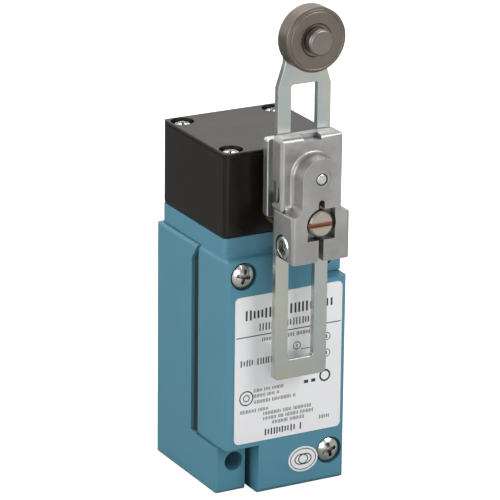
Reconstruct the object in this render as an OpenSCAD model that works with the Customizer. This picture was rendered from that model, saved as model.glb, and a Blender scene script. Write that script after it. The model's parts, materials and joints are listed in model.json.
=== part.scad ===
/* [Receptacle] */
// Width of the receptacle, the rear half that stays on the machine
base_w = 41.7; // [41.4:0.1:42.4]
// Height of the receptacle from its bottom to the seam under the neck
base_h = 74.2; // [74:0.1:74.8]
// Depth of the receptacle's box, back plane to rim
base_d = 22.7; // [22.4:0.1:22.9]
// Depth of the foot and the ear that carry the mounting holes
foot_d = 38.3; // [37:0.1:39]
// Height of the foot
foot_h = 15.4; // [15:0.1:15.6]
// Spacing of the two mounting holes, side to side
mount_dx = 29.4; // [29:0.1:30]
// Spacing of the two mounting holes, up and down
mount_dz = 59.4; // [59:0.1:60]
// Radius of a mounting hole
mount_r = 3; // [2.6:0.1:3.2]
// Radius of the threaded conduit entry
conduit_r = 10.1; // [9.8:0.1:10.2]

/* [Plug-in unit] */
// Width of the plug-in unit
unit_w = 40.1; // [39.8:0.1:40.6]
// Distance from the back plane to the plug-in unit's front face
unit_front = 43.4; // [43.2:0.1:43.6]
// Width of the neck and head
head_w = 38.8; // [38.4:0.1:39.2]
// Height of the head's top above the bottom
head_top = 105.75; // [105:0.25:107]
// Travel of the plunger under the cam
plunger_travel = 1.6; // [1:0.1:1.6]

/* [Lever] */
// Height of the operating shaft above the bottom
shaft_z = 88.65; // [88.5:0.05:88.8]
// Radius of the operating shaft
shaft_r = 3.95; // [3.9:0.01:3.96]
// Radius of the roller
roller_r = 9.525; // [8:0.025:10]
// Width of the roller
roller_w = 6.3; // [5:0.1:6.4]
// Height of the roller's axis above the bottom as the lever is set
roller_z = 141.9; // [141:0.1:143]
// Half of the lever arm's width
arm_half = 8.6; // [8.4:0.1:8.6]
// Half of the width of the lever arm's slot
slot_half = 4.3; // [4.2:0.05:4.4]

/* [Hidden] */
$fn = 64;
mount_x = mount_dx / 2;
low_z = 9.7;                          // lower hole and screw
high_z = low_z + mount_dz;            // upper hole and screw
mid_z = low_z + mount_dz / 2;         // the row's origin
half_base = base_w / 2;
half_unit = unit_w / 2;
half_head = head_w / 2;
inner_x = 8.94;                       // inner edge of the tab
foot_inner_x = 10.9;                  // inner walls of foot and ear
ear_z = 64.3;
ledge_cove = 1.8;                     // cove between the neck and the front ledge
rim = 25.4;                           // depth of the receptacle's bottom and top lip
unit_back = 25.55;
cavity_half = 17.8;
cavity_z = [16.5, 61];
neck_z = [74.3, 80.1];
head_z = 80.5;
head_y = [-40.3, -1.1];
head_mid = -20.7;
head_screw = 15.2;                    // head screws stand on a square of twice this
blade_z = [34.5, 51.5];               // planes of the lower and upper contacts
blade_x = 10.9;
wire_drop = 6.2;                      // wire screws below their blades
blade_t = 0.8;
block_screw_x = 14.6;
block_screw_z = 43;
cam_r = 6.2;
cam_flat = 4.2;
cam_gap = 0.3;
follower_top = shaft_z - cam_r - cam_gap;
follower_t = 1.6;
bridge_t = 0.8;
bridge_z = [blade_z[0] + blade_t / 2 + 0.6 + plunger_travel + 0.25,
            blade_z[1] - blade_t / 2 - 0.6 - 0.15 - bridge_t];
arm_y = [-51.45, -49.4];
arm_z = [38.5, 127];
slot_z = [44.3, 127.6];
hub_back = -51.55;
hub_top = 113.5;
plate_front = -56.7;
boss_front = -62.4;
rivet_z = 102;
shaft_end = -62.9;
clamp_y = -56.5;
clamp_z = 81.3;
shoulder_z = 91.6;                     // tops of the clamp block's shoulders
block_half = 9.42;
block_corner = 0.7;                   // rounded corners of the clamp block
plate_half = 10.1;
rear_plate_y = [-47.1, -44.3];        // stamped plate behind the arm
boss_r = 6.24;
boss_foot = 1.2;                      // fillet between boss and plate
lip = 0.25;                           // groove under the top edge of the head
roller_front = arm_y[0] - 0.35 - roller_w;
running = 0.05;                       // radial clearance of every turning fit
paint = [0.345, 0.51, 0.58];
moulding = [0.16, 0.14, 0.13];
zinc = [0.62, 0.61, 0.59];
steel = [0.72, 0.73, 0.72];
brass = [0.76, 0.6, 0.32];

// Heights are laid out from the bottom of the receptacle. This moves them to the row's
// origin, the middle of the two mounting holes on the back plane.
module from_bottom() {
    translate([0, 0, -mid_z]) children();
}

// Box between pairs of limits.
module block(x, y, z) {
    translate([x[0], y[0], z[0]]) cube([x[1] - x[0], y[1] - y[0], z[1] - z[0]]);
}

// Round bars along each axis, between two limits.
module bar_x(y, z, r, x) {
    translate([x[0], y, z]) rotate([0, 90, 0]) cylinder(r = r, h = x[1] - x[0]);
}

module bar_y(x, z, r, y) {
    translate([x, y[1], z]) rotate([90, 0, 0]) cylinder(r = r, h = y[1] - y[0]);
}

module bar_z(x, y, r, z) {
    translate([x, y, z[0]]) cylinder(r = r, h = z[1] - z[0]);
}

// An outline drawn in X and Z, given thickness in Y.
module slab(y) {
    translate([0, y[1], 0]) rotate([90, 0, 0]) linear_extrude(y[1] - y[0]) children();
}

// Rectangle with round corners, between pairs of limits.
module round_rect(u, v, r) {
    translate([u[0] + r, v[0]]) square([u[1] - u[0] - 2 * r, v[1] - v[0]]);
    translate([u[0], v[0] + r]) square([u[1] - u[0], v[1] - v[0] - 2 * r]);
    for (a = [u[0] + r, u[1] - r], b = [v[0] + r, v[1] - r]) translate([a, b]) circle(r);
}

// Box with every edge rounded: three rounded outlines that cut each other. The upright
// edges may have a radius of their own.
module soft_block(x, y, z, r, upright = 0) {
    intersection() {
        translate([0, 0, z[0]]) linear_extrude(z[1] - z[0])
            round_rect(x, y, upright > 0 ? upright : r);
        slab(y) round_rect(x, z, r);
        translate([x[0], 0, 0]) rotate([90, 0, 90]) linear_extrude(x[1] - x[0])
            round_rect(y, z, r);
    }
}

// Crossed recess of a screw, cut downwards from z = 0.
module cross_cut(r, depth) {
    half = r * 0.24;
    for (turn = [0, 90]) rotate(turn)
        translate([-r, -half, -depth]) cube([2 * r, 2 * half, depth + 1]);
    translate([0, 0, -depth]) cylinder(r = r * 0.42, h = depth + 1);
}

// Pan-head screw, head up, the underside of its domed head at z = 0.
module pan_screw(head_r, head_h, shank_r, length, spin = 20) {
    dome_r = head_r * 1.9;
    rotate(spin) difference() {
        intersection() {
            cylinder(r = head_r, h = head_h);
            translate([0, 0, head_h - dome_r]) sphere(dome_r);
        }
        translate([0, 0, head_h]) cross_cut(head_r * 0.62, head_h * 0.62);
    }
    translate([0, 0, -length]) cylinder(r = shank_r, h = length);
}

// Screw along Y with its head to the front, its underside at y.
module front_screw(x, y, z, head_r, head_h, shank_r, length, spin = 20) {
    translate([x, y, z]) rotate([90, 0, 0]) pan_screw(head_r, head_h, shank_r, length, spin);
}

// Round-wire compression spring standing on z = 0, swept along its own helix.
module coil_spring(r, wire, height, turns) {
    steps = 14 * turns;
    sides = 8;
    points = [for (i = [0:steps], j = [0:sides - 1])
        let (turn = 360 * turns * i / steps, side = 360 * j / sides,
             reach = r + wire * cos(side))
        [reach * cos(turn), reach * sin(turn),
         wire + (height - 2 * wire) * i / steps + wire * sin(side)]];
    skin = [for (i = [0:steps - 1], j = [0:sides - 1])
        let (next = (j + 1) % sides)
        [i * sides + j, (i + 1) * sides + j, (i + 1) * sides + next, i * sides + next]];
    near_end = [for (j = [0:sides - 1]) j];
    far_end = [for (j = [sides - 1:-1:0]) steps * sides + j];
    polyhedron(points, concat(skin, [near_end], [far_end]));
}

// Receptacle: die-cast box with the foot and ear that reach forward to the mounting screws.
module base_housing() {
    color(paint) from_bottom() difference() {
        intersection() {
            soft_block([-half_base, half_base], [-foot_d, 0], [0, base_h], 1.2);
            union() {
                block([-half_base, half_base], [-base_d, 0], [0, base_h]);
                block([-half_base, -foot_inner_x], [-foot_d, -base_d], [0, foot_h]);
                block([foot_inner_x, half_base], [-foot_d, -base_d], [ear_z, base_h]);
                block([-half_base, half_base], [-rim, -base_d], [0, foot_h]);
                translate([-half_base, 0, 0]) rotate([90, 0, 90]) linear_extrude(base_w)
                    polygon([[-base_d, 69.5], [-rim, 73.2], [-rim, base_h], [-base_d, base_h]]);
            }
        }
        block([-cavity_half, cavity_half], [-rim - 1, -3], cavity_z);
        block([-5, 5], [-rim - 1, -15.5], [60, base_h + 1]);
        block([-half_base - 1, -half_base + 1.1], [-foot_d - 1, -rim - 0.3], [foot_h - 0.5, foot_h + 1]);
        bar_z(0, -12.8, conduit_r, [-1, 17]);
        for (side = [-1, 1])
            bar_y(side * mount_x, side < 0 ? low_z : high_z, mount_r, [-foot_d - 1, 1]);
        bar_y(mount_x, low_z, 2.2, [-foot_d, -12]);
        bar_y(-mount_x, high_z, 2.2, [-foot_d, -12]);
        bar_z(13.5, -8, 1.7, [10, 17]);
        for (z = [27.5, 54]) bar_y(0, z, 1.3, [-4, -1]);
    }
}

// Moulded block at the back of the receptacle that holds the wiring terminals.
module terminal_block() {
    color("#2b2622") from_bottom() difference() {
        union() {
            block([-16, 16], [-8.2, -3.05], [24.2, 58]);
            block([-0.8, 0.8], [-11, -8.2], [33, 48]);
        }
        for (side = [-1, 1], z = blade_z)
            bar_y(side * blade_x, z - wire_drop, 1.6, [-9, -4.4]);
        for (z = [27.5, 54]) bar_y(0, z, 1.3, [-9, -3]);
    }
}

// Four brass terminals: a plate under the wire screw and a jaw for the blade.
module terminal_plates() {
    color(brass) from_bottom() for (side = [-1, 1], z = blade_z) difference() {
        union() {
            block([side * blade_x - 3, side * blade_x + 3], [-9.2, -8.2], [z - 9.4, z + 2.4]);
            for (leaf = [0.48, -1.08])
                block([side * blade_x - 2, side * blade_x + 2], [-11.6, -9.2],
                    [z + leaf, z + leaf + 0.6]);
        }
        block([side * blade_x - 2, side * blade_x + 2], [-9.9, -8], [z - 0.48, z + 0.48]);
        bar_y(side * blade_x, z - wire_drop, 1.6, [-10, -8]);
    }
}

// Four wire screws.
module wire_screws() {
    color(steel) from_bottom() for (side = [-1, 1], z = blade_z)
        front_screw(side * blade_x, -9.2, z - wire_drop, 2.9, 2, 1.6, 4.8, 25 * side);
}

// Two screws that hold the terminal block to the receptacle.
module terminal_block_screws() {
    color(steel) from_bottom() for (z = [27.5, 54])
        front_screw(0, -8.2, z, 2.4, 1.8, 1.3, 7, z);
}

// Green equipment-ground screw on the floor of the wiring chamber.
module ground_screw() {
    color("#3f7a4b") from_bottom() translate([13.5, -8, cavity_z[0]])
        pan_screw(3, 2.2, 1.7, 6.4);
}

// Front outline of the plug-in unit, without the corners that the foot and the ear fill.
module unit_outline() {
    difference() {
        round_rect([-half_unit, half_unit], [0, base_h], 1.2);
        translate([-half_unit - 1, -1]) square([half_unit + 1 - inner_x, foot_h + 1.1]);
        translate([inner_x, ear_z - 0.2]) square([half_unit, base_h]);
    }
}

// Plug-in unit: die-cast cover with the neck that carries the head.
module switch_body() {
    color(paint) from_bottom() difference() {
        union() {
            intersection() {
                slab([-unit_front, -unit_back]) unit_outline();
                soft_block([-half_unit, half_unit], [-unit_front, 0], [0, base_h], 1.6);
            }
            soft_block([-half_head, half_head], [head_y[0] + 0.3, head_y[1] + 0.1],
                [neck_z[0] - 8, neck_z[1] + 8], 1.5);
            block([-half_head + 0.6, half_head - 0.6], [head_y[0] + 0.3 - ledge_cove, head_y[0] + 2],
                [base_h - 1, base_h + ledge_cove]);
        }
        bar_x(head_y[0] + 0.3 - ledge_cove, base_h + ledge_cove, ledge_cove, [-half_unit, half_unit]);
        block([-half_unit, half_unit], [-unit_front - 1, 1], [neck_z[1], neck_z[1] + 20]);
        block([-half_unit, half_unit], [-unit_back, 1], [0, neck_z[0]]);
        block([inner_x, half_unit + 1], [-unit_front - 1, 0], [ear_z - 0.2, neck_z[0]]);
        block([-17.3, 17.3], [-40.9, -unit_back + 1], [18, 62]);
        bar_z(0, head_mid, 8.2, [76, 90]);
        bar_z(0, head_mid, 3.3, [70, 80]);
        for (x = [-1, 1], y = [-1, 1])
            bar_z(x * head_screw, head_mid + y * head_screw, 1.5, [75.6, 90]);
        for (side = [-1, 1]) {
            bar_y(-side * mount_x, mid_z + side * mount_dz / 2, 2.2, [-50, -20]);
            bar_y(-side * mount_x, mid_z + side * mount_dz / 2, 4.25, [-50, -41.5]);
            bar_y(-side * mount_x, mid_z + side * mount_dz / 2, 3.6, [-27.5, -20]);
        }
    }
    color(paint) from_bottom() for (side = [-1, 1]) difference() {
        bar_y(side * block_screw_x, block_screw_z, 2.7, [-41, -34]);
        bar_y(side * block_screw_x, block_screw_z, 1.2, [-37, -33]);
    }
}

// Moulded gasket between the two halves, held in from the painted sides.
module body_gasket() {
    color("#232a26") from_bottom() difference() {
        slab([-rim, -base_d]) difference() {
            translate([-19.7, foot_h + 0.1]) square([39.4, 72.6 - foot_h]);
            translate([inner_x, ear_z - 0.2]) square([20, 20]);
            round_rect([-17.1, 17.1], [18.6, 60.9], 1.5);
            translate([-5.2, 55]) square([10.4, 30]);
            translate([-mount_x, high_z]) circle(2.4);
        }
        translate([-half_base, 0, 0]) rotate([90, 0, 90]) linear_extrude(base_w)
            polygon([[-base_d + 0.1, 69.3], [-rim - 1, 74.5], [-base_d + 0.1, 80]]);
    }
}

// Rating label on the front face.
module label_plate() {
    color("#dadade") from_bottom() slab([-unit_front - 0.3, -unit_front])
        round_rect([-17.46, 18.18], [17, 62.8], 1.5);
}

// Oval approval sticker on the tab, left plain.
module oval_sticker() {
    color("#d6d8da") from_bottom() translate([5.9, -unit_front, 8.5]) rotate([90, 0, 0])
        linear_extrude(0.2) scale([1, 0.8]) circle(4.95);
}

// Two captive screws that hold the plug-in unit to the receptacle.
module captive_screws() {
    color(steel) from_bottom() for (side = [-1, 1])
        front_screw(-side * mount_x, -41.5, mid_z + side * mount_dz / 2, 3.65, 2.4, 1.9, 27,
            45 + 30 * side);
}

// Snap rings that keep the captive screws in the plug-in unit.
module captive_clips() {
    color(steel) from_bottom() for (side = [-1, 1]) difference() {
        bar_y(-side * mount_x, mid_z + side * mount_dz / 2, 3.4, [-27.4, -26.6]);
        bar_y(-side * mount_x, mid_z + side * mount_dz / 2, 1.9, [-28, -26]);
    }
}

// Moulded housing of the snap contacts, open at the back for assembly.
module contact_housing() {
    color("#2d2723") from_bottom() difference() {
        block([-16.8, 16.8], [-34, -17], [24, 60]);
        block([-12.7, 12.7], [-25.5, -16], [26, 57.8]);
        block([-3.3, 3.3], [-24.2, -16], [57, 61]);
        for (side = [-1, 1]) bar_y(side * block_screw_x, block_screw_z, 1.2, [-35, -16]);
    }
}

// Cover of the contact housing, slotted for the four blades.
module contact_cover() {
    color("#7c2f25") from_bottom() difference() {
        block([-16.8, 16.8], [-17, -15], [24, 60]);
        for (side = [-1, 1], z = blade_z)
            block([side * blade_x - 1.7, side * blade_x + 1.7], [-18, -14], [z - 0.5, z + 0.5]);
        for (side = [-1, 1]) {
            bar_y(side * block_screw_x, block_screw_z, 1.2, [-18, -14]);
            bar_y(side * block_screw_x, block_screw_z, 2.1, [-15.9, -14]);
        }
    }
}

// Four fixed contacts: a strip over the bridge with its silver tip, and the plug-in blade.
module fixed_contacts() {
    color(brass) from_bottom() for (side = [-1, 1], level = [0, 1]) {
        z = blade_z[level];
        low = z - blade_t / 2;
        tip = level == 0 ? [low + blade_t, low + blade_t + 0.6] : [low - 0.6, low];
        mirror([side < 0 ? 1 : 0, 0, 0]) {
            block([6.2, 12.4], [-22.4, -19], [low, low + blade_t]);
            block([blade_x - 1.5, 12.4], [-19, -9.7], [low, low + blade_t]);
            bar_z(7.7, head_mid, 1.2, tip);
        }
    }
}

// Two screws through the cover and housing into the posts of the plug-in unit.
module contact_block_screws() {
    color(steel) from_bottom() for (side = [-1, 1])
        translate([side * block_screw_x, -15.9, block_screw_z]) rotate([-90, 0, 0])
            pan_screw(2, 0.9, 1.2, 20);
}

// Head of the switch: a moulded housing for the shaft, cam and follower.
module head_housing() {
    color(moulding) from_bottom() difference() {
        soft_block([-half_head, half_head], head_y, [head_z, head_top], 0.4, 1.6);
        difference() {
            block([-half_head - 1, half_head + 1], [head_y[0] - 1, head_y[1] + 1],
                [head_top - 1.1, head_top - 1.1 + lip]);
            block([-half_head + lip, half_head - lip], [head_y[0] + lip, head_y[1] - lip],
                [head_z, head_top]);
        }
        block([-11, 11], [-33, -8], [head_z - 1, 100]);
        bar_y(0, shaft_z, shaft_r + running, [-9, -3.6]);
        bar_y(0, shaft_z, 7, [-42, -32]);
        for (x = [-1, 1], y = [-1, 1]) {
            bar_z(x * head_screw, head_mid + y * head_screw, 1.7, [70, 110]);
            bar_z(x * head_screw, head_mid + y * head_screw, 3.5, [head_top - 2.6, 110]);
        }
    }
}

// Four screws that hold the head on the neck, so the head can face any side.
module head_screws() {
    color(steel) from_bottom() for (x = [-1, 1], y = [-1, 1])
        translate([x * head_screw, head_mid + y * head_screw, head_top - 2.6])
            pan_screw(3.1, 2.3, 1.5, 27, 30 * x + 12 * y);
}

// Sheet gasket under the head.
module head_gasket() {
    color("#1d1d1c") from_bottom() difference() {
        block([-18.7, 18.7], [-39.6, -1.8], [neck_z[1], head_z]);
        bar_z(0, head_mid, 8.4, [79, 81]);
        for (x = [-1, 1], y = [-1, 1])
            bar_z(x * head_screw, head_mid + y * head_screw, 1.7, [79, 81]);
    }
}

// Sintered bronze bushing that carries the shaft through the front of the head.
module shaft_bushing() {
    color("#8a7650") from_bottom() difference() {
        union() {
            bar_y(0, shaft_z, 7, [-40.3, -33.6]);
            bar_y(0, shaft_z, 6.2, [-43.2, -40.3]);
        }
        bar_y(0, shaft_z, shaft_r + running, [-44, -30]);
        bar_y(0, shaft_z, 5.4, [-44, -41.6]);
    }
}

// Lip seal in the nose of the bushing.
module shaft_seal() {
    color("#1a1a1a") from_bottom() difference() {
        bar_y(0, shaft_z, 5.4, [-42.9, -41.6]);
        bar_y(0, shaft_z, shaft_r + running, [-44, -40]);
    }
}

// Follower plate under the cam, with the stem that works the contacts.
module cam_follower() {
    color("#c9c4b4") from_bottom() {
        bar_z(0, head_mid, 7.4, [follower_top - follower_t, follower_top]);
        bar_z(0, head_mid, 2.9, [57, follower_top - follower_t]);
        bar_z(0, head_mid, 2.2, [55.3, 57]);
    }
}

// Return spring between the neck and the follower plate.
module return_spring() {
    color(steel) from_bottom() translate([0, head_mid, 76])
        coil_spring(5.6, 0.45, follower_top - follower_t - 76, 3);
}

// Carrier of the moving contacts.
module contact_carrier() {
    color("#d9d3c0") from_bottom() difference() {
        union() {
            block([-4, 4], [-23.2, -18.2], [31.5, 55]);
            bar_z(0, head_mid, 1.6, [29.8, 31.5]);
        }
        for (z = bridge_z) block([-5, 5], [-22.4, -19], [z, z + bridge_t]);
    }
}

// Two bridges of spring copper with silver tips, one made and one open at rest.
module bridge_contacts() {
    color([0.8, 0.5, 0.32]) from_bottom() for (z = bridge_z)
        slab([-22.4, -19]) round_rect([-8.9, 8.9], [z, z + bridge_t], 0.3);
}

// Spring that lifts the carrier.
module carrier_spring() {
    color(steel) from_bottom() translate([0, head_mid, 26]) coil_spring(2.4, 0.35, 5.4, 3);
}

// Operating shaft with its screwdriver slot, clip groove and cross hole.
module operating_shaft() {
    color([0.78, 0.7, 0.58]) from_bottom() difference() {
        union() {
            bar_y(0, shaft_z, shaft_r, [shaft_end + 0.8, -3.8]);
            translate([0, shaft_end + 0.8, shaft_z]) rotate([90, 0, 0])
                cylinder(r1 = shaft_r, r2 = shaft_r - 0.7, h = 0.8);
        }
        difference() {
            bar_y(0, shaft_z, 5, [-33.4, -32.6]);
            bar_y(0, shaft_z, 3.3, [-34, -32]);
        }
        bar_z(0, head_mid, 1, [shaft_z - 5, shaft_z + 5]);
        translate([0, shaft_end, shaft_z]) cube([9, 2.4, 1], center = true);
    }
}

// Cam: a sleeve with a flat that lies on the follower at rest and lifts it either way.
module shaft_cam() {
    color("#8f9092") from_bottom() difference() {
        bar_y(0, shaft_z, cam_r, [-28, -13.4]);
        block([-8, 8], [-30, -10], [shaft_z - 8, shaft_z - cam_flat]);
        bar_y(0, shaft_z, shaft_r, [-30, -10]);
        bar_z(0, head_mid, 1, [shaft_z - 8, shaft_z + 8]);
    }
}

// Roll pin that fixes the cam on the shaft.
module cam_pin() {
    color(steel) from_bottom() difference() {
        bar_z(0, head_mid, 1, [shaft_z - cam_flat + 0.1, shaft_z + 5.9]);
        bar_z(0, head_mid, 0.55, [shaft_z - 8, shaft_z + 8]);
    }
}

// Retaining clip in the shaft's groove, behind the bushing.
module shaft_clip() {
    color(steel) from_bottom() difference() {
        bar_y(0, shaft_z, 6, [-33.35, -32.65]);
        bar_y(0, shaft_z, 3.3, [-34, -32]);
        block([-2.6, 2.6], [-34, -32], [shaft_z - 8, shaft_z]);
    }
}

// Raised part of the hub in front view: clamp block, coved shoulders and round-topped boss.
module hub_boss_outline() {
    round_rect([-block_half, block_half], [77.4, shoulder_z], block_corner);
    translate([-boss_r, shoulder_z - 1]) square([2 * boss_r, rivet_z - shoulder_z + 1]);
    translate([0, rivet_z]) circle(boss_r);
    cove = block_half - block_corner - boss_r;
    for (side = [0, 1]) mirror([side, 0]) difference() {
        translate([boss_r, shoulder_z - 0.5]) square([cove, cove + 0.5]);
        translate([boss_r + cove, shoulder_z + cove]) circle(cove);
    }
}

// Fillet at the foot of the boss: a half ring over its round top, a straight run down each
// flank, and a wider cove over the shoulders of the clamp block.
module hub_fillets() {
    intersection() {
        translate([0, plate_front, rivet_z]) rotate([90, 0, 0]) rotate_extrude() difference() {
            translate([boss_r - 0.3, -0.3]) square([boss_foot + 0.3, boss_foot + 0.3]);
            translate([boss_r + boss_foot, boss_foot]) circle(boss_foot);
        }
        block([-plate_half, plate_half], [-60, -50], [rivet_z, 120]);
    }
    for (side = [-1, 1]) difference() {
        block([side * boss_r - boss_foot, side * boss_r + boss_foot],
            [plate_front - boss_foot, plate_front + 0.3], [shoulder_z, rivet_z]);
        bar_z(side * (boss_r + boss_foot), plate_front - boss_foot, boss_foot, [90, 110]);
    }
    difference() {
        block([-block_half + 0.6, block_half - 0.6], [plate_front - 2.4, plate_front + 0.3],
            [shoulder_z - 0.5, shoulder_z + 2.4]);
        bar_x(plate_front - 2.4, shoulder_z + 2.4, 2.4, [-10, 10]);
    }
}

// Hub of the lever, a zinc casting: plate over the arm above, split clamp below.
module hub_casting() {
    color(zinc) from_bottom() difference() {
        union() {
            intersection() {
                slab([boss_front, hub_back]) hub_boss_outline();
                soft_block([-block_half, block_half], [boss_front, -40], [70, 120], block_corner, 1.2);
            }
            intersection() {
                soft_block([-plate_half, plate_half], [plate_front, -40], [91.4, hub_top], 1.5, 1.2);
                block([-11, 11], [-60, hub_back], [90, 120]);
            }
            hub_fillets();
            bar_y(0, rivet_z, slot_half - 0.15, [hub_back - 1, arm_y[1] + 0.05]);
        }
        bar_y(0, shaft_z, shaft_r + running, [-64, -50]);
        bar_y(0, shaft_z, 4.75, [-64, -59.6]);
        block([0, 4.48], [-64, -59.6], [83.9, 93.2]);
        block([-4.48, 0], [-64, -59.6], [83.9, shaft_z + 1.3]);
        bar_y(0, 94.9, 1, [-64, -50]);
        block([-1, 1], [-64, -50], [92, 94.9]);
        block([-0.85, 0.85], [-64, -50], [77, 85]);
        bar_x(clamp_y, clamp_z, 2.1, [-10, 10]);
        bar_x(clamp_y, clamp_z, 3.85, [-10, -7]);
        bar_x(clamp_y, clamp_z, 3.7, [6.4, 10]);
        bar_y(0, rivet_z, 1.7, [-64, -46]);
        bar_y(0, rivet_z, 1.9, [-64, boss_front + 0.8]);
        bar_y(0, rivet_z, 3, [-64, boss_front + 0.15]);
        for (side = [-1, 1])
            bar_x(hub_back - 0.9, 96.8, 3.6, side < 0 ? [-11, -7.9] : [7.9, 11]);
        block([-3, 2.8], [plate_front - 1, plate_front + 3], [hub_top - 1.5, hub_top + 1]);
    }
}

// Hexagon-socket screw that closes the split clamp on the shaft.
module hub_clamp_screw() {
    color("#6a6864") from_bottom() difference() {
        union() {
            bar_x(clamp_y, clamp_z, 3.55, [-9.2, -7]);
            translate([-9.2, clamp_y, clamp_z]) rotate([0, -90, 0])
                cylinder(r1 = 3.55, r2 = 2.75, h = 0.5);
            bar_x(clamp_y, clamp_z, 2, [-7, 9]);
        }
        translate([-10, clamp_y, clamp_z]) rotate([0, 90, 0]) cylinder(r = 2.5, h = 2.3, $fn = 6);
    }
}

// Square nut of the clamp screw, sunk in the right side of the hub.
module clamp_nut() {
    color(steel) from_bottom() difference() {
        translate([6.4, clamp_y, clamp_z]) rotate([0, 90, 0]) cylinder(r = 3.7, h = 2.4, $fn = 6);
        bar_x(clamp_y, clamp_z, 2, [5, 10]);
    }
}

// Plate that the rivet pulls against the back of the arm by its raised pad, notched round
// the shaft.
module rear_clamp_plate() {
    color(steel) from_bottom() difference() {
        union() {
            slab(rear_plate_y) round_rect([-9.3, 9.3], [87.5, 111], 0.9);
            block([-7, 7], [arm_y[1] + 0.08, rear_plate_y[0] + 1], [94.5, 109]);
        }
        bar_y(0, shaft_z, 4.5, [-50, -43]);
        block([-4.5, 4.5], [-50, -43], [80, shaft_z]);
        bar_y(0, rivet_z, 1.7, [-50, -43]);
    }
}

// Rivet through plate, arm slot and hub.
module hub_rivet() {
    color(steel) from_bottom() {
        bar_y(0, rivet_z, 1.7, [boss_front + 0.4, rear_plate_y[1] + 0.1]);
        translate([0, boss_front + 0.4, rivet_z]) rotate([90, 0, 0])
            cylinder(r1 = 1.7, r2 = 1.35, h = 0.35);
        translate([0, rear_plate_y[1], rivet_z]) rotate([-90, 0, 0])
            cylinder(r1 = 3.2, r2 = 2.4, h = 0.9);
    }
}

// Slotted lever arm.
module lever_arm() {
    color([0.72, 0.76, 0.74]) from_bottom() difference() {
        union() {
            slab(arm_y) round_rect([-arm_half, arm_half], [arm_z[0], arm_z[1] - 2], 1.5);
            slab(arm_y) polygon([[-arm_half, arm_z[1] - 8], [-arm_half, arm_z[1]],
                [-6.35, 134], [-6, roller_z - 1], [6, roller_z - 1], [6.35, 134],
                [arm_half, arm_z[1]], [arm_half, arm_z[1] - 8]]);
            bar_y(0, roller_z, 6.1, arm_y);
        }
        slab([arm_y[0] - 1, arm_y[1] + 1]) round_rect([-slot_half, slot_half], slot_z, 0.9);
        bar_y(0, roller_z, 3, [arm_y[0] - 1, arm_y[1] + 1]);
    }
}

// Pin that is riveted in the arm and carries the roller behind its flange.
module roller_pin() {
    color([0.47, 0.46, 0.43]) from_bottom() translate([0, 0, roller_z]) {
        bar_y(0, 0, 3, [roller_front - 0.2, arm_y[1] + 0.8]);
        bar_y(0, 0, 3.93, [roller_front - 2.4, roller_front - 0.1]);
        translate([0, roller_front - 2.4, 0]) rotate([90, 0, 0])
            cylinder(r1 = 3.93, r2 = 3.4, h = 0.5);
        translate([0, arm_y[1], 0]) rotate([-90, 0, 0]) cylinder(r1 = 4.2, r2 = 3.4, h = 1.1);
    }
}

// Steel roller, turned, with a chamfered rim and a countersink round the pin.
module roller() {
    color([0.45, 0.41, 0.37]) from_bottom() translate([0, roller_front, roller_z])
        rotate([-90, 0, 0])
        rotate_extrude() polygon([[3 + running, 0.45], [4.5, 0.45], [5.1, 0], [8.15, 0],
            [8.25, 0.12], [8.4, 0.12], [8.5, 0], [8.9, 0], [roller_r, 0.65],
            [roller_r, roller_w - 0.65], [roller_r - 0.6, roller_w], [3 + running, roller_w]]);
}

base_housing();
terminal_block();
terminal_plates();
wire_screws();
terminal_block_screws();
ground_screw();
switch_body();
body_gasket();
label_plate();
oval_sticker();
captive_screws();
captive_clips();
contact_housing();
contact_cover();
fixed_contacts();
contact_block_screws();
head_housing();
head_screws();
head_gasket();
shaft_bushing();
shaft_seal();
cam_follower();
return_spring();
contact_carrier();
bridge_contacts();
carrier_spring();
operating_shaft();
shaft_cam();
cam_pin();
shaft_clip();
hub_casting();
hub_clamp_screw();
clamp_nut();
rear_clamp_plate();
hub_rivet();
lever_arm();
roller_pin();
roller();
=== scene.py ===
# Plug-in limit switch with a rotary head and an adjustable roller lever.
# The imported model is the frame. This script gives each piece its finish and adds print and threads.
import json
import math
import random

import bmesh
import bpy
from mathutils import Matrix, Vector


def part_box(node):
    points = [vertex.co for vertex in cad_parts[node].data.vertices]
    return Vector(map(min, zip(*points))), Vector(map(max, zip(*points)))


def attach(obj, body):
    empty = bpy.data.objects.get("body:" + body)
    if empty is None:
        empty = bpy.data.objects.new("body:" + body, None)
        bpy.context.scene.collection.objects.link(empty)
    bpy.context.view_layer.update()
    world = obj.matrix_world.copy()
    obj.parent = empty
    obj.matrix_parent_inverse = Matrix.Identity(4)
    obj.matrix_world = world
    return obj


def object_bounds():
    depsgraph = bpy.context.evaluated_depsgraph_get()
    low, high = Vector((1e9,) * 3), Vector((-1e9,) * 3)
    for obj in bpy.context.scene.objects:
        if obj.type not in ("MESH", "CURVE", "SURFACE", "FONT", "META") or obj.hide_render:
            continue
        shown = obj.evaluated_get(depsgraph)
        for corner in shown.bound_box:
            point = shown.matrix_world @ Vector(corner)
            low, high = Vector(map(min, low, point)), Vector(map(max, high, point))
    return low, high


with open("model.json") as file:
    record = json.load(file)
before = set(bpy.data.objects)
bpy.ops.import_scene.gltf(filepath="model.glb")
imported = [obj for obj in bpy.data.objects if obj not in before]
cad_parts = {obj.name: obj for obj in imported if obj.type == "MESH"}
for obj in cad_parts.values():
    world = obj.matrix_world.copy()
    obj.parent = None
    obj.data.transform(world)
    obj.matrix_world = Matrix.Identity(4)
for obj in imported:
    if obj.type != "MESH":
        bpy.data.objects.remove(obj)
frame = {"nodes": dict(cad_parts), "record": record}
nodes = frame["nodes"]
cad_low, cad_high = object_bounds()

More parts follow.
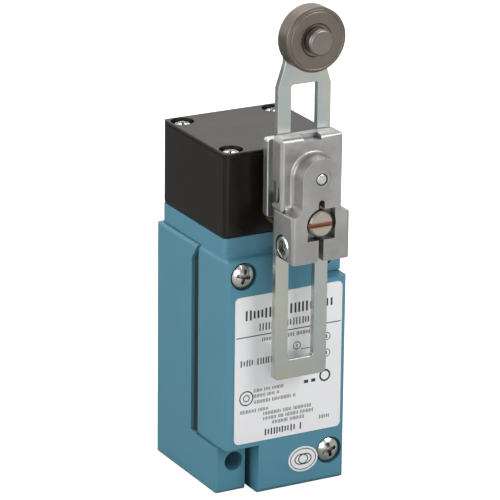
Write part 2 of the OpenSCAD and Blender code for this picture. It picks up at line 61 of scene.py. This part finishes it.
# Camera, a long lens slightly above the switch and to its left, level but for a slight roll.
azimuth, elevation, roll = (math.radians(angle) for angle in (-28.65, 19.15, 0.66))
distance = 1.0697
look_at = Vector((0, -0.022, 0.0306))
backwards = Vector((math.sin(azimuth) * math.cos(elevation), -math.cos(azimuth) * math.cos(elevation),
                    math.sin(elevation)))
sideways = (-backwards).cross(Vector((0, 0, 1))).normalized()
upwards = sideways.cross(-backwards)
right = sideways * math.cos(roll) + upwards * math.sin(roll)
up = upwards * math.cos(roll) - sideways * math.sin(roll)
camera_data = bpy.data.cameras.new("camera")
camera_data.sensor_width = 36
camera_data.lens = 260.58
camera_data.shift_x = -0.00644
camera_data.shift_y = -0.01056
camera_data.clip_end = 10
camera = bpy.data.objects.new("camera", camera_data)
camera.matrix_world = Matrix.Translation(look_at + backwards * distance) @ Matrix(
    (right, up, backwards)).transposed().to_4x4()
bpy.context.scene.collection.objects.link(camera)
bpy.context.scene.camera = camera


# Floor, a plain white sweep under and behind the switch.
class Field:
    """One output of a finish's nodes. Arithmetic on it adds Math nodes."""

    def __init__(self, finish, socket):
        self.finish = finish
        self.socket = socket

    def math(self, operation, *others):
        return self.finish.node("ShaderNodeMath", {"operation": operation},
                                {i: value for i, value in enumerate((self,) + others)})

    def __add__(self, other):
        return self.math("ADD", other)

    def __radd__(self, other):
        return self.math("ADD", other)

    def __sub__(self, other):
        return self.math("SUBTRACT", other)

    def __rsub__(self, other):
        return self.finish.node("ShaderNodeMath", {"operation": "SUBTRACT"}, {0: other, 1: self})

    def __mul__(self, other):
        return self.math("MULTIPLY", other)

    def __pow__(self, other):
        return self.math("POWER", other)

    def over(self, low, high):
        """0 below low, 1 above high, a smooth step between."""
        return self.finish.node("ShaderNodeMapRange", {"interpolation_type": "SMOOTHSTEP"},
                                {"Value": self, "From Min": low, "From Max": high})


class Finish:
    """A surface finish: a material round one Principled shader."""

    def __init__(self, name, **sockets):
        self.material = bpy.data.materials.new(name)
        self.material.use_nodes = True
        self.tree = self.material.node_tree
        self.shader = self.tree.nodes["Principled BSDF"]
        for socket, value in sockets.items():
            self.set(socket.replace("_", " ").title().replace("Ior", "IOR"), value)

    def set(self, socket, value):
        """Gives one of the shader's sockets a number, a colour or a field."""
        self.feed(self.shader.inputs[socket], value)

    def feed(self, socket, value):
        if isinstance(value, Field):
            self.tree.links.new(value.socket, socket)
        elif isinstance(value, (tuple, list)) and len(value) == 3 and socket.type == "RGBA":
            socket.default_value = (*value, 1)
        else:
            socket.default_value = value

    def node(self, kind, settings=None, inputs=None, output=0):
        """Any other node: its settings first, then the values or links of its sockets."""
        made = self.tree.nodes.new(kind)
        for key, value in (settings or {}).items():
            if key == "stops":
                ramp = made.color_ramp
                for extra in value[2:]:
                    ramp.elements.new(extra[0])
                for element, (place, colour) in zip(ramp.elements, value):
                    element.position = place
                    element.color = (*colour, 1)
            else:
                setattr(made, key, value)
        for key, value in (inputs or {}).items():
            self.feed(made.inputs[key], value)
        return Field(self, made.outputs[output])

    def place(self):
        """Position on the piece, in the row's frame, in metres."""
        return self.node("ShaderNodeTexCoord", output="Object")

    def along(self, axis):
        """The X, Y or Z of the position."""
        return self.node("ShaderNodeSeparateXYZ", None, {0: self.place()}, output=axis)

    def stretched(self, scale):
        """The position with each axis scaled, to draw a texture out along one of them."""
        return self.node("ShaderNodeVectorMath", {"operation": "MULTIPLY"}, {0: self.place(), 1: scale})

    def noise(self, scale, detail=3, rough=0.5, where=None):
        """A cloudy pattern of that many waves a metre."""
        return self.node("ShaderNodeTexNoise", None, {
            "Vector": where or self.place(), "Scale": scale, "Detail": detail, "Roughness": rough})

    def mix(self, share, first, second):
        """A colour between two, by a share or a field."""
        return self.node("ShaderNodeMix", {"data_type": "RGBA"}, {0: share, 6: first, 7: second}, output=2)

    def bump(self, height, depth, strength=1.0):
        """A relief of that depth in metres."""
        self.set("Normal", self.node("ShaderNodeBump", None, {
            "Height": height, "Distance": depth, "Strength": strength}))

    def edge_mask(self, radius, low=0.02, high=0.25):
        """Mask of the outer edges, where the rounded normal leaves the true one."""
        round_normal = self.node("ShaderNodeBevel", {"samples": 8}, {"Radius": radius})
        true_normal = self.node("ShaderNodeNewGeometry", output="True Normal")
        facing = self.node("ShaderNodeVectorMath", {"operation": "DOT_PRODUCT"},
                           {0: round_normal, 1: true_normal}, output="Value")
        return (1 - facing).over(low, high)

    def hollow_shade_mask(self, reach, low=0.35, high=0.85):
        """Mask of the recesses and inner corners, for painted shade there."""
        openness = self.node("ShaderNodeAmbientOcclusion", {"samples": 8}, {"Distance": reach}, output="AO")
        return 1 - openness.over(low, high)

    def dress(self, *names):
        """Gives this finish to CAD nodes."""
        for name in names:
            for material_slot in nodes[name].material_slots:
                material_slot.material = self.material


def add_mesh(name, mesh, finish, body=None):
    """Links a mesh as a new piece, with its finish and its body."""
    piece = bpy.data.objects.new(name, mesh)
    bpy.context.scene.collection.objects.link(piece)
    piece.data.materials.append(finish.material)
    if body:
        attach(piece, body)
    return piece


floor_finish = Finish("floor_white", roughness=0.9, base_color=(0.93, 0.93, 0.93),
                      emission_color=(1, 1, 1), emission_strength=0.72)
floor_mesh = bpy.data.meshes.new("floor")
floor_shape = bmesh.new()
floor_half = 3.0
floor_drop = 0.0001
bend_y = 0.6
bend_r = 0.5
bend_steps = 8
floor_rows = [(-floor_half, 0.0), (bend_y, 0.0)]
for step in range(1, bend_steps + 1):
    turn = step * math.pi / (2 * bend_steps)
    floor_rows.append((bend_y + bend_r * math.sin(turn), bend_r - bend_r * math.cos(turn)))
floor_rows.append((bend_y + bend_r, 2.5))
rows = []
for y, rise in floor_rows:
    z = cad_low.z + rise - floor_drop
    rows.append([floor_shape.verts.new((x, y, z)) for x in (-floor_half, floor_half)])
for near, far in zip(rows, rows[1:]):
    floor_shape.faces.new((near[0], near[1], far[1], far[0]))
floor_shape.to_mesh(floor_mesh)
floor_shape.free()
for polygon in floor_mesh.polygons:
    polygon.use_smooth = True
floor = add_mesh("floor", floor_mesh, floor_finish)
floor.visible_diffuse = False
floor.visible_glossy = False

# Table under the switch, a grey sheet that is darker behind. Only the light that it throws back
# and its reflections show.
table_finish = Finish("table_grey", roughness=0.9)
table_front = 1 - table_finish.along("Y").over(-0.25, 0.02)
table_finish.set("Base Color", table_finish.mix(table_front, (0.20, 0.20, 0.20), (0.50, 0.50, 0.50)))
table_mesh = bpy.data.meshes.new("table")
table_half = 2.0
table_z = cad_low.z - floor_drop / 2
table_corners = [(x * table_half, y * table_half, table_z) for x, y in ((-1, -1), (1, -1), (1, 1), (-1, 1))]
table_mesh.from_pydata(table_corners, [], [(0, 1, 2, 3)])
table = add_mesh("table", table_mesh, table_finish)
table.visible_camera = False
table.visible_shadow = False

# Light, a room that is bright behind the switch and dim in front of it, with large soft boxes
# in front at the right, at the left and overhead, and a weak one low in front.
bpy.context.scene.view_settings.view_transform = "Standard"
world = bpy.data.worlds.new("room")
world.use_nodes = True
room = world.node_tree
room_way = room.nodes.new("ShaderNodeTexCoord")
room_axes = room.nodes.new("ShaderNodeSeparateXYZ")
room_fade = room.nodes.new("ShaderNodeMapRange")
room.links.new(room_way.outputs["Generated"], room_axes.inputs[0])
room.links.new(room_axes.outputs["Y"], room_fade.inputs["Value"])
room.links.new(room_fade.outputs["Result"], room.nodes["Background"].inputs["Strength"])
room_fade.inputs["From Min"].default_value = -0.9
room_fade.inputs["From Max"].default_value = 0.7
room_fade.inputs["To Min"].default_value = 0.35
room_fade.inputs["To Max"].default_value = 1.0
room.nodes["Background"].inputs["Color"].default_value = (1, 1, 1, 1)
bpy.context.scene.world = world


def soft_box(name, place, size, power):
    """A square area light that faces the middle of the switch."""
    light = bpy.data.lights.new(name, "AREA")
    light.size = size
    light.energy = power
    lamp = bpy.data.objects.new(name, light)
    lamp.location = place
    lamp.rotation_euler = (look_at - Vector(place)).to_track_quat("-Z", "Y").to_euler()
    bpy.context.scene.collection.objects.link(lamp)


soft_box("key_light", (0.55, -1.0, 0.75), 0.6, 8)
soft_box("left_light", (-1.2, 0.0, 0.35), 0.9, 8.5)
soft_box("top_light", (0.1, 0.45, 1.2), 0.9, 8)
soft_box("low_light", (-0.25, -1.1, 0.1), 0.5, 4)


# Castings of the receptacle and the plug-in unit: zinc alloy under a baked teal enamel, with a
# fine orange-peel skin, the edges lighter as thin paint and painted highlight, and painted shade in the
# corners.
def soften(width, *names):
    """Breaks the sharp edges of CAD nodes by a small round."""
    for name in names:
        piece = nodes[name]
        weld = piece.modifiers.new("weld", "WELD")
        weld.merge_threshold = 1e-6
        flat = piece.modifiers.new("flat", "DECIMATE")
        flat.decimate_type = "DISSOLVE"
        flat.angle_limit = math.radians(0.4)
        edge = piece.modifiers.new("edge", "BEVEL")
        edge.width = width
        edge.segments = 3
        edge.limit_method = "ANGLE"
        edge.angle_limit = math.radians(38)
        edge.harden_normals = False
        edge.use_clamp_overlap = True
        shade = piece.modifiers.new("shade", "WEIGHTED_NORMAL")
        shade.keep_sharp = False
        shade.weight = 80


teal = (0.070, 0.214, 0.288)
# Lighter teal for the edges, partly thin paint and partly painted highlight.
teal_thin_and_lit = (0.13, 0.32, 0.39)


def enamel(name, seed):
    paint = Finish(name, specular_ior_level=0.42)
    cloud = paint.noise(60 + seed, 2)
    peel = paint.noise(1100 + 20 * seed, 2, 0.45)
    specks = paint.noise(2300, 1).over(0.74, 0.80)
    # Edges lightened, partly thin paint and partly painted highlight.
    worn_and_lit_edges = paint.edge_mask(0.0007, 0.05, 0.5)
    tone = paint.mix(cloud, tuple(0.94 * c for c in teal), tuple(1.06 * c for c in teal))
    # Painted shade darkens the recesses and inner corners.
    hollow_shaded = paint.mix(paint.hollow_shade_mask(0.004, 0.25, 0.8) * 0.45, tone, tuple(0.25 * c for c in teal))
    thinned_and_lit = paint.mix(worn_and_lit_edges * 0.35, hollow_shaded, teal_thin_and_lit)
    paint.set("Base Color", paint.mix(specks * 0.25, thinned_and_lit, (0.4, 0.42, 0.42)))
    paint.set("Roughness", 0.36 + cloud * 0.08)
    paint.bump(peel, 0.00004, 0.6)
    return paint


base_enamel = enamel("base_enamel", 1)
base_enamel.dress("base_housing")
unit_enamel = enamel("unit_enamel", 5)
unit_enamel.dress("switch_body")
soften(0.0005, "base_housing", "switch_body")

# Gaskets and the shaft seal, black moulded rubber with a dusty bloom.
rubber = Finish("rubber", specular_ior_level=0.3)
bloom = rubber.noise(400, 4)
rubber.set("Base Color", rubber.mix(bloom, (0.012, 0.016, 0.014), (0.03, 0.036, 0.033)))
rubber.set("Roughness", 0.62 + bloom * 0.2)
rubber.bump(rubber.noise(2500, 3), 0.00003)
rubber.dress("body_gasket", "head_gasket", "shaft_seal")
soften(0.0003, "body_gasket")

# Head, a brown-black phenolic moulding with a satin skin.
black_moulding = Finish("black_moulding", specular_ior_level=0.32, specular_tint=(1, 0.92, 0.86, 1))
flow = black_moulding.noise(90, 4)
scuffs = black_moulding.edge_mask(0.0004, 0.05, 0.5)
moulded_tone = black_moulding.mix(flow, (0.0035, 0.0022, 0.0015), (0.007, 0.0048, 0.0035))
black_moulding.set("Base Color", black_moulding.mix(scuffs * 0.3, moulded_tone, (0.05, 0.04, 0.035)))
black_moulding.set("Roughness", 0.22 + flow * 0.16)
black_moulding.bump(flow + black_moulding.noise(1500, 2) * 0.3, 0.00003)
black_moulding.dress("head_housing")
soften(0.0003, "head_housing")

# Insides of the plug-in unit, dark phenolic with a red cover and a pale carrier and follower.
for finish_name, dark, light, wearers in (
        ("dark_phenolic", (0.02, 0.016, 0.014), (0.04, 0.033, 0.03), ["terminal_block", "contact_housing"]),
        ("red_phenolic", (0.18, 0.03, 0.02), (0.24, 0.05, 0.035), ["contact_cover"]),
        ("pale_moulding", (0.62, 0.58, 0.48), (0.70, 0.66, 0.56), ["cam_follower", "contact_carrier"])):
    moulding = Finish(finish_name)
    flow = moulding.noise(150, 4)
    moulding.set("Base Color", moulding.mix(flow, dark, light))
    moulding.set("Roughness", 0.42 + flow * 0.15)
    moulding.bump(moulding.noise(2200, 2), 0.00002)
    moulding.dress(*wearers)
soften(0.0003, "terminal_block", "contact_housing", "contact_cover", "contact_carrier")


# Plated steel: screws, rivet, rear plate, lever arm, springs, clips. Bright zinc with a faint
# rainbow, and painted shade in the recesses.
def plated(name, tone, rough, tint=0.5, grain=(900, 900, 60), shade_reach=0.0009):
    plate = Finish(name, metallic=1.0)
    bands = plate.noise(1.0, 2, 0.5, plate.stretched((160, 160, 70)))
    rainbow = plate.node("ShaderNodeValToRGB", {"stops": [
        (0.30, (0.80, 0.90, 0.95)), (0.68, (0.97, 0.95, 0.80)), (0.42, (0.88, 0.99, 0.90)),
        (0.50, (0.99, 0.90, 0.94)), (0.58, (0.92, 0.98, 0.86))]}, {0: bands})
    grains = plate.noise(1.0, 3, 0.6, plate.stretched(grain))
    colour = plate.mix(tint, (1, 1, 1), rainbow)
    toned = plate.node("ShaderNodeMix", {"data_type": "RGBA", "blend_type": "MULTIPLY"},
                       {0: 1.0, 6: colour, 7: tone}, output=2)
    # Painted shade darkens the recesses.
    plate.set("Base Color", plate.mix(plate.hollow_shade_mask(shade_reach) * 0.8, toned, (0.06, 0.055, 0.05)))
    plate.set("Roughness", rough + grains * 0.12)
    plate.bump(grains, 0.00002, 0.5)
    return plate


screw_plating = plated("screw_plating", (0.90, 0.90, 0.88), 0.16, 0.35, (500, 500, 500))
screw_plating.dress("wire_screws", "terminal_block_screws", "captive_clips", "contact_block_screws",
                    "head_screws", "return_spring", "carrier_spring", "cam_pin", "clamp_nut")
# Darker plating for the captive screws, rivet and clamp screw, with painted shade reaching deeper into
# their recesses.
dark_plating_deep_shade = plated("dark_plating_deep_shade", (0.62, 0.63, 0.61), 0.16, 0.35, (500, 500, 500), 0.0025)
dark_plating_deep_shade.dress("captive_screws", "hub_rivet", "hub_clamp_screw")
plate_plating = plated("plate_plating", (0.70, 0.70, 0.67), 0.28, 0.4)
plate_plating.dress("rear_clamp_plate")
arm_plating = plated("arm_plating", (0.56, 0.57, 0.555), 0.24, 1.0)
arm_plating.dress("lever_arm")
soften(0.0004, "lever_arm", "rear_clamp_plate")
soften(0.0002, "head_screws", "captive_screws", "hub_rivet", "clamp_nut", "wire_screws")

# Hub, a zinc die casting, grey and softly mottled, its edges lighter as rubbed metal and painted highlight,
# and painted shade in its hollows.
zinc = Finish("cast_zinc", metallic=0.85)
skin = zinc.noise(220, 5, 0.6)
grit = zinc.noise(1500, 3)
worn_and_lit = zinc.edge_mask(0.0005, 0.05, 0.5)
blotch = zinc.noise(70, 3, 0.55).over(0.35, 0.65)
cast_tone = zinc.mix(blotch, zinc.mix(skin, (0.27, 0.262, 0.252), (0.41, 0.398, 0.385)),
                     zinc.mix(skin, (0.35, 0.345, 0.34), (0.47, 0.465, 0.455)))
# Edges lightened, partly rubbed metal and partly painted highlight.
rubbed_and_lit_tone = zinc.mix(worn_and_lit * 0.8, cast_tone, (0.80, 0.79, 0.77))
# Painted shade darkens the hollows.
zinc.set("Base Color", zinc.mix(zinc.hollow_shade_mask(0.0018) * 0.7, rubbed_and_lit_tone, (0.10, 0.098, 0.095)))
zinc.set("Roughness", 0.30 + skin * 0.2)
zinc.bump(grit * 0.25 + skin, 0.00012, 0.7)
zinc.dress("hub_casting")
soften(0.0003, "hub_casting")

# Dark steel: the cam and the clip, oil-blackened.
dark_steel = Finish("dark_steel", metallic=1.0)
smut = dark_steel.noise(500, 4)
dark_steel.set("Base Color", dark_steel.mix(smut, (0.16, 0.155, 0.15), (0.27, 0.26, 0.25)))
dark_steel.set("Roughness", 0.32 + smut * 0.15)
dark_steel.bump(smut, 0.00002)
dark_steel.dress("shaft_cam", "shaft_clip")
soften(0.0003, "hub_clamp_screw")


# Turned steel of the roller, its pin and the shaft: brown-grey, with fine rings from the lathe.
# Rust has settled in the screwdriver slot of the shaft.
def turned(name, node, dark, light, rough, pitch, slot_rust=False):
    steel = Finish(name, metallic=1.0)
    low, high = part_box(node)
    axis = (low + high) / 2
    across = steel.along("X") - axis.x
    height = steel.along("Z") - axis.z
    radius = (across * across + height * height) ** 0.5
    rings = steel.node("ShaderNodeTexNoise", {"noise_dimensions": "1D"},
                       {"W": radius, "Scale": pitch, "Detail": 3})
    stain = steel.noise(120, 4)
    tone = steel.mix(stain * 0.7 + rings * 0.3, dark, light)
    if slot_rust:
        near_slot = 1 - height.math("ABSOLUTE").over(0.0003, 0.0011)
        near_end = 1 - (steel.along("Y") - low.y).over(0.0012, 0.0016)
        tone = steel.mix(near_slot * near_end * (0.45 + stain * 0.8), tone, (0.20, 0.05, 0.012))
    steel.set("Base Color", tone)
    steel.set("Roughness", rough + rings * 0.12)
    steel.bump(rings, 0.00003, 0.7)
    steel.dress(node)


turned("roller_steel", "roller", (0.15, 0.122, 0.100), (0.25, 0.215, 0.185), 0.30, 2600)
turned("pin_steel", "roller_pin", (0.19, 0.172, 0.150), (0.28, 0.262, 0.235), 0.30, 2600)
turned("shaft_steel", "operating_shaft", (0.40, 0.36, 0.285), (0.54, 0.50, 0.42), 0.3, 2200, True)
turned("bushing_bronze", "shaft_bushing", (0.20, 0.14, 0.08), (0.32, 0.24, 0.14), 0.38, 2200)
soften(0.00025, "roller", "roller_pin", "operating_shaft")

# Brass terminals and contacts, copper bridges and the green ground screw.
for finish_name, dark, light, wearers in (
        ("brass", (0.50, 0.34, 0.13), (0.68, 0.50, 0.24), ("terminal_plates", "fixed_contacts")),
        ("copper", (0.58, 0.27, 0.14), (0.72, 0.38, 0.22), ("bridge_contacts",)),
        ("green_steel", (0.02, 0.12, 0.05), (0.05, 0.22, 0.09), ("ground_screw",))):
    metal = Finish(finish_name, metallic=0.9)
    tarnish = metal.noise(300, 4)
    metal.set("Base Color", metal.mix(tarnish, dark, light))
    metal.set("Roughness", 0.28 + tarnish * 0.15)
    metal.bump(tarnish, 0.00002)
    metal.dress(*wearers)

# Label, white-lacquered aluminium foil, and the plain oval sticker on the tab.
label_white = Finish("label_white", metallic=0.15, coat_weight=0.3, coat_roughness=0.15)
haze = label_white.noise(80, 3)
label_white.set("Base Color", label_white.mix(haze, (0.73, 0.735, 0.745), (0.79, 0.79, 0.80)))
label_white.set("Roughness", 0.3 + haze * 0.1)
label_white.bump(label_white.noise(1500, 2), 0.00001)
label_white.dress("label_plate", "oval_sticker")


# Print on the label and the sticker, black ink. Rows of upright strokes stand for words and
# spell nothing, and plain rings stand for the marks.
ink = Finish("ink")
ink_wear = ink.noise(900, 3)
ink.set("Base Color", ink.mix(ink_wear, (0.012, 0.012, 0.014), (0.04, 0.04, 0.043)))
ink.set("Roughness", 0.5 + ink_wear * 0.2)
mm = 0.001
ink_thickness = 0.02 * mm
printer = random.Random(7)


class Print:
    """Flat print on a front face, laid out in millimetres from that face's lower left corner."""

    def __init__(self, node):
        self.low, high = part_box(node)
        self.shape = bmesh.new()

    def outline(self, points, inner=()):
        """A filled outline, or with inner a band between two outlines of as many points."""
        front = self.low.y - ink_thickness
        sheets = []
        for y in (front, self.low.y):
            sheets.append([[self.shape.verts.new((self.low.x + u * mm, y, self.low.z + v * mm))
                            for u, v in loop] for loop in (points, inner) if loop])
        face_loops, foot_loops = sheets
        count = len(points)
        if inner:
            for i in range(count):
                j = (i + 1) % count
                outer, hole = face_loops
                self.shape.faces.new((outer[i], outer[j], hole[j], hole[i]))
        else:
            self.shape.faces.new(face_loops[0])
        for face_loop, foot_loop in zip(face_loops, foot_loops):
            for i in range(count):
                j = (i + 1) % count
                self.shape.faces.new((face_loop[i], foot_loop[i], foot_loop[j], face_loop[j]))

    def bar(self, left, right, bottom, top):
        self.outline([(left, bottom), (right, bottom), (right, top), (left, top)])

    def ring(self, u, v, across, up, line, sides=40):
        turns = [2 * math.pi * i / sides for i in range(sides)]
        outer, inner = ([(u + (across - d) * math.cos(a), v + (up - d) * math.sin(a)) for a in turns]
                        for d in (0, line))
        self.outline(outer, inner)

    def row(self, left, right, bottom, height, stroke):
        """Groups of upright strokes, well apart and centred on the row."""
        u = left
        strokes_left = printer.randint(5, 12)
        while u < right - stroke:
            margin = height * printer.choice((0, 0, 0.12))
            self.bar(u, u + stroke, bottom + margin, bottom + height - margin)
            strokes_left -= 1
            u += stroke + height * printer.uniform(0.20, 0.30)
            if strokes_left == 0:
                u += height * 0.5
                strokes_left = printer.randint(4, 14)

    def finish(self, name, slot):
        bmesh.ops.recalc_face_normals(self.shape, faces=self.shape.faces)
        mesh = bpy.data.meshes.new(name)
        self.shape.to_mesh(mesh)
        self.shape.free()
        return add_mesh(name, mesh, ink, "switch_unit")


label_print = Print("label_plate")
for row in (
        (3.4, 32.6, 38.4, 3.1, 0.62),
        (8.0, 27.6, 34.6, 2.3, 0.40),
        (9.0, 26.5, 31.2, 1.2, 0.24),
        (1.9, 17.0, 24.2, 2.0, 0.40),
        (6.4, 16.5, 15.6, 1.1, 0.22),
        (6.4, 15.0, 13.9, 1.1, 0.22),
        (6.4, 20.5, 12.0, 1.1, 0.22),
        (1.9, 11.5, 9.4, 1.1, 0.22),
        (9.6, 26.5, 7.9, 1.1, 0.22),
        (9.6, 26.5, 6.3, 1.1, 0.22),
        (12.6, 23.6, 4.7, 1.1, 0.22),
        (10.2, 22.6, 1.4, 2.1, 0.46),
        (28.5, 31.8, 3.4, 1.3, 0.26)):
    label_print.row(*row)
label_print.bar(0.4, 35.2, 33.2, 33.5)
for u, v in ((30.6, 29.2), (30.6, 24.0), (20.6, 28.0), (20.6, 23.0)):
    label_print.ring(u, v, 1.25, 1.25, 0.22)
    label_print.bar(u - 0.15, u + 0.15, v - 0.55, v + 0.55)
for v in (26.6, 21.6):
    label_print.bar(21.9, 29.2, v, v + 0.2)
label_print.ring(3.9, 14.2, 2.35, 2.35, 0.38)
label_print.ring(3.9, 14.2, 1.1, 1.1, 0.30)
label_print.ring(30.2, 17.0, 1.9, 1.9, 0.55)
label_print.bar(23.2, 24.6, 15.6, 16.6)
label_print.bar(25.6, 27.0, 15.6, 16.6)
label_print.finish("label_print", "label")

sticker_print = Print("oval_sticker")
sticker_print.ring(4.95, 3.96, 4.35, 3.40, 0.26)
sticker_print.ring(4.35, 3.96, 2.30, 1.75, 0.34)
sticker_print.ring(5.55, 3.96, 2.30, 1.75, 0.34)
sticker_print.finish("sticker_print", "sticker")


# Threads, which the model's plain bores and shanks leave out: the half-inch pipe thread of the
# conduit entry, cut in bare zinc, and the coarse thread at the tips of the captive screws.
def thread(name, centre, axis, radius, crest, pitch, length, finish, body):
    """A helical ridge from radius to crest, wound from centre along axis."""
    steps_a_turn = 40
    foot = pitch * 0.42
    flat = pitch * 0.06
    steps = round(length / pitch * steps_a_turn)
    spin = Vector((0, 0, 1)).rotation_difference(axis).to_matrix()
    shape = bmesh.new()
    rings = []
    for step in range(steps + 1):
        turn = 2 * math.pi * step / steps_a_turn
        fade = min(1, step / 10, (steps - step) / 10)
        rise = pitch * step / steps_a_turn
        tip = radius + (crest - radius) * max(fade, 0.02)
        profile = ((radius, -foot), (tip, -flat), (tip, flat), (radius, foot))
        points = [Vector((r * math.cos(turn), r * math.sin(turn), rise + z)) for r, z in profile]
        rings.append([shape.verts.new(centre + spin @ point) for point in points])
    for near, far in zip(rings, rings[1:]):
        for i in range(4):
            j = (i + 1) % 4
            shape.faces.new((near[i], near[j], far[j], far[i]))
    shape.faces.new(rings[0])
    shape.faces.new(rings[-1][::-1])
    bmesh.ops.recalc_face_normals(shape, faces=shape.faces)
    mesh = bpy.data.meshes.new(name)
    shape.to_mesh(mesh)
    shape.free()
    return add_mesh(name, mesh, finish, body)


entry = next(mount for mount in frame["record"]["mounts"] if mount["name"] == "conduit_entry")
entry_r = entry["dims"]["r_mm"] * mm
entry_middle = Vector(entry["pos_m"])
entry_length = entry["dims"]["length_mm"] * mm
plain_end = 1.2 * mm
pipe_pitch = 25.4 / 14 * mm
entry_foot = Vector((entry_middle.x, entry_middle.y, cad_low.z + plain_end))
thread("conduit_thread", entry_foot, Vector((0, 0, 1)), entry_r, entry_r - 0.7 * mm, pipe_pitch,
       entry_length - 2 * plain_end, zinc, "receptacle")
screws_low, screws_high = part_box("captive_screws")
captive_head_r = 3.65 * mm
shank_r = 1.9 * mm
for name, x, z in (("captive_thread_high", screws_low.x + captive_head_r, screws_high.z - captive_head_r),
                   ("captive_thread_low", screws_high.x - captive_head_r, screws_low.z + captive_head_r)):
    thread(name, Vector((x, screws_high.y - 7 * mm, z)), Vector((0, 1, 0)), shank_r - 0.02 * mm,
           shank_r + 0.2 * mm, 0.8 * mm, 6.5 * mm, screw_plating, "switch_unit")
